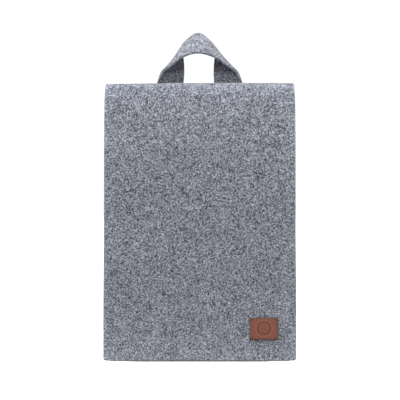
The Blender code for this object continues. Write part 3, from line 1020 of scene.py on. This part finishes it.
def build_stitches(thread):
    """Side seams, mouth, handle boxes and the facing's line, as separate stitches."""
    forward, backward = (0, -1, 0), (0, 1, 0)
    path = back_path()
    upright = path[path[:, 1] < BACK_FOLD_Z]
    for side in ("left", "right"):
        node = f"seam_thread_{side}"
        low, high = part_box(node)
        x = (low[0] + high[0]) / 2
        zs = np.linspace(low[2], high[2], 20)
        ys = np.interp(zs, upright[:, 1], upright[:, 0]) + FELT / 2
        routes = [[(x, y, z) for y, z in zip(ys, zs)]]
        sew(f"seam_stitches_{side}", routes, thread, SEAM_STITCH, backward, node, "pocket")

        # A box with both of its diagonals
        node = f"handle_stitch_{side}"
        low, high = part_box(node)
        inset = 0.4 * MM
        x0, x1 = low[0] + inset, high[0] - inset
        z0, z1 = low[2] + inset, high[2] - inset
        y = TAB_LOW.y + LOOP_THICK
        a, b, c, d = (x0, y, z0), (x1, y, z0), (x1, y, z1), (x0, y, z1)
        routes = [[a, b], [b, c], [c, d], [d, a], [a, c], [b, d]]
        sew(f"handle_stitches_{side}", routes, thread, BOX_STITCH, backward, node, "pocket")

    low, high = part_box("mouth_thread")
    z, y = (low[2] + high[2]) / 2, FRONT_LOW.y
    route = [(x, y, z) for x in np.linspace(low[0], high[0], 12)]
    sew("mouth_stitches", [route], thread, SEAM_STITCH, forward, "mouth_thread", "pocket")

    low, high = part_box("facing_thread")
    z = (low[2] + high[2]) / 2
    y = flap_front_y(z) + FELT + (FACING_HIGH.y - FACING_LOW.y)
    route = [(x, y, z) for x in np.linspace(low[0], high[0], 12)]
    sew("facing_stitches", [route], thread, SEAM_STITCH, backward, "facing_thread", "flap")


# ---------------------------------------------------------------- the patch


def flap_front_y(z):
    """Where the flap's outer face is at a height."""
    path = flap_path()
    front = path[(path[:, 1] < TOP - 12 * MM)]
    order = np.argsort(front[:, 1])
    return float(np.interp(z, front[order, 1], front[order, 0])) - FELT / 2


def build_patch(leather, thread):
    """Leather patch with a pressed ring, and a stitch at each corner."""
    low, high = PATCH_LOW, PATCH_HIGH
    centre = (low + high) / 2
    thick = high.y - low.y
    sunk = 0.15 * MM
    ring_radius, ring_width, ring_depth = 8.2 * MM, 0.8 * MM, 0.5 * MM
    lip_radius = ring_radius + 1.9 * MM
    crease_in, crease_width, crease_depth = 1.6 * MM, 0.35 * MM, 0.05 * MM
    step = 0.42 * MM
    xs, zs = spaced(low.x, high.x, step), spaced(low.z, high.z, step)[::-1]
    seats = [flap_front_y(z) for z in zs]
    grid = np.zeros((len(xs), len(zs), 3))
    burnish_and_shade, lip_highlight = np.zeros((2, len(xs), len(zs)))
    for i, x in enumerate(xs):
        for j, z in enumerate(zs):
            away = ((x - centre.x) ** 2 + (z - centre.z) ** 2) ** 0.5
            groove = np.exp(-(((away - ring_radius) / ring_width) ** 2))
            lip = np.exp(-(((away - lip_radius) / ring_width) ** 2))
            rim = min(x - low.x, high.x - x, z - low.z, high.z - z)
            crease = np.exp(-(((rim - crease_in) / crease_width) ** 2))
            # the groove and the crease by the rim darken the leather, partly as burnish and
            # partly as painted shade, and the raised lip gets a painted highlight
            burnish_and_shade[i, j] = min(1.0, groove + 0.2 * crease)
            lip_highlight[i, j] = max(0.0, lip - groove)
            lift = ring_depth * (groove - 0.25 * lip) + crease_depth * crease
            lift += 0.05 * MM * wobble((x, 0, z), 6 * MM, 9.0)
            grid[i, j] = (x, seats[j] - sunk - thick / 2 + lift, z)
    marks = {"burnish_and_shade": (burnish_and_shade, burnish_and_shade), "lip_highlight": (lip_highlight, lip_highlight)}
    patch = thick_sheet("leather_label", grid, thick, leather, inset=0.3 * MM, extra=marks)
    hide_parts("leather_patch")
    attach(patch, "flap")
    for number in range(1, 5):
        node = f"patch_stitch_{number}"
        start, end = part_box(node)
        z = (start[2] + end[2]) / 2
        y = flap_front_y(z) - sunk - thick + 0.05 * MM
        route = [(start[0] - 0.1 * MM, y, z), (end[0] + 0.1 * MM, y, z)]
        name = f"corner_stitch_{number}"
        sew(name, [route], thread, CORNER_STITCH, (0, -1, 0), node, "flap")


# ---------------------------------------------------------------- stage, light, camera


def build_floor():
    """A round white floor that glows a little, so that it is as white as the backdrop."""
    n = Nodes("white_floor")
    grain = n.noise(3.0, 2.0)
    colour = n.ramp(grain, ((0.3, (0.88, 0.88, 0.88)), (0.7, (0.9, 0.9, 0.9))))
    n.surface(colour, 0.9, None, Emission_Color=(1, 1, 1, 1), Emission_Strength=1.0)
    bm = bmesh.new()
    bmesh.ops.create_circle(bm, cap_ends=True, radius=60.0, segments=64)
    mesh = bpy.data.meshes.new("floor")
    bm.to_mesh(mesh)
    bm.free()
    mesh.materials.append(n.mat)
    floor = in_scene("floor", mesh)
    floor.location.z = -1.0 * MM
    floor.visible_diffuse = False
    floor.visible_glossy = False


def build_world():
    """Soft light from all round, which the camera sees as plain white."""
    world = bpy.data.worlds.new("studio")
    world.use_nodes = True
    tree = world.node_tree
    back = tree.nodes["Background"]
    seen = tree.nodes.new("ShaderNodeBackground")
    for node, strength in ((back, 0.45), (seen, 1.05)):
        node.inputs["Color"].default_value = (1, 1, 1, 1)
        node.inputs["Strength"].default_value = strength
    path = tree.nodes.new("ShaderNodeLightPath")
    choose = tree.nodes.new("ShaderNodeMixShader")
    tree.links.new(path.outputs["Is Camera Ray"], choose.inputs[0])
    tree.links.new(back.outputs[0], choose.inputs[1])
    tree.links.new(seen.outputs[0], choose.inputs[2])
    tree.links.new(choose.outputs[0], tree.nodes["World Output"].inputs["Surface"])
    bpy.context.scene.world = world


def add_light(name, place, target, size, power):
    """A square soft light turned to a point, with its side in metres and its power in watts."""
    data = bpy.data.lights.new(name, "AREA")
    data.shape = "SQUARE"
    data.size = size
    data.energy = power
    light = in_scene(name, data)
    light.location = place
    way = Vector(target) - Vector(place)
    light.rotation_euler = way.to_track_quat("-Z", "Y").to_euler()


def build_camera():
    """A level camera in front, about as high as the middle of the sleeve."""
    scene = bpy.context.scene
    scene.view_settings.view_transform = "Standard"
    scene.view_settings.look = "None"
    camera = bpy.data.cameras.new("camera")
    camera.sensor_width = SENSOR_MM
    camera.lens = SENSOR_MM * CAMERA_DISTANCE / VIEW_WIDTH
    camera.clip_end = 100.0
    holder = in_scene("camera", camera)
    holder.location = (0.25 * MM, FLAP_LOW.y - CAMERA_DISTANCE, VIEW_HEIGHT)
    holder.rotation_euler = (pi / 2, 0, 0)
    scene.camera = holder


def build_stage():
    """White floor and surroundings, soft light from above and the front, and the camera."""
    build_floor()
    build_world()
    add_light("top_light", (0.0, -0.62, 1.95), (0.0, 0.0, 0.2), 1.0, 36.0)
    add_light("front_light", (0.0, -1.2, 0.12), (0.0, 0.0, 0.05), 0.9, 2.1)
    add_light("rear_light", (0.0, 1.8, 1.0), (0.0, 0.0, 0.2), 1.6, 9.0)
    build_camera()


# ---------------------------------------------------------------- everything


def build_felts():
    """Felt for the pocket, the back, the strap and the flap, with what is sewn on each."""
    seam_low, seam_high = node_box("seam_thread_right")
    sewn = abs(seam_low.x + seam_high.x) / 2
    outer, wide = -LOOP_POINTS[0][0] * MM, LOOP_POINTS[0][3] * MM
    margin = 0.7 * MM
    # frames with painted shadow round them: the strap's feet, its stitch boxes and the patch
    foot = ((outer - wide - margin, TAB_LOW.z - margin), (outer + margin, TAB_HIGH.z), True)
    box_low, box_high = node_box("handle_stitch_right")
    box = ((box_low.x, box_low.z), (box_high.x, box_high.z), True)
    seat = ((PATCH_LOW.x, PATCH_LOW.z), (PATCH_HIGH.x, PATCH_HIGH.z), False)
    return (
        felt_material("felt"),
        felt_material("back_felt", shadow_frame=foot, seam=sewn),
        felt_material("strap_felt", shadow_frame=box),
        felt_material("flap_felt", shadow_frame=seat),
    )


def main():
    """Build every piece."""
    felt, back_felt, strap_felt, flap_felt = build_felts()
    thread = thread_material("grey_thread", THREAD_COLOUR)
    build_stage()
    build_strip(back_felt, flap_felt)
    build_pocket(felt)
    build_bottom(felt)
    build_linings(cloth_material("lining_cloth", LINING_COLOUR))
    build_handle(strap_felt)
    build_stitches(thread)
    patch_thread = thread_material("brown_thread", PATCH_THREAD_COLOUR)
    build_patch(leather_material("leather"), patch_thread)
    steel = steel_material("plated_steel")
    for body in ("pocket", "flap"):
        for side in ("left", "right"):
            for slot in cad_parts[f"{body}_magnet_{side}"].material_slots:
                slot.material = steel


main()
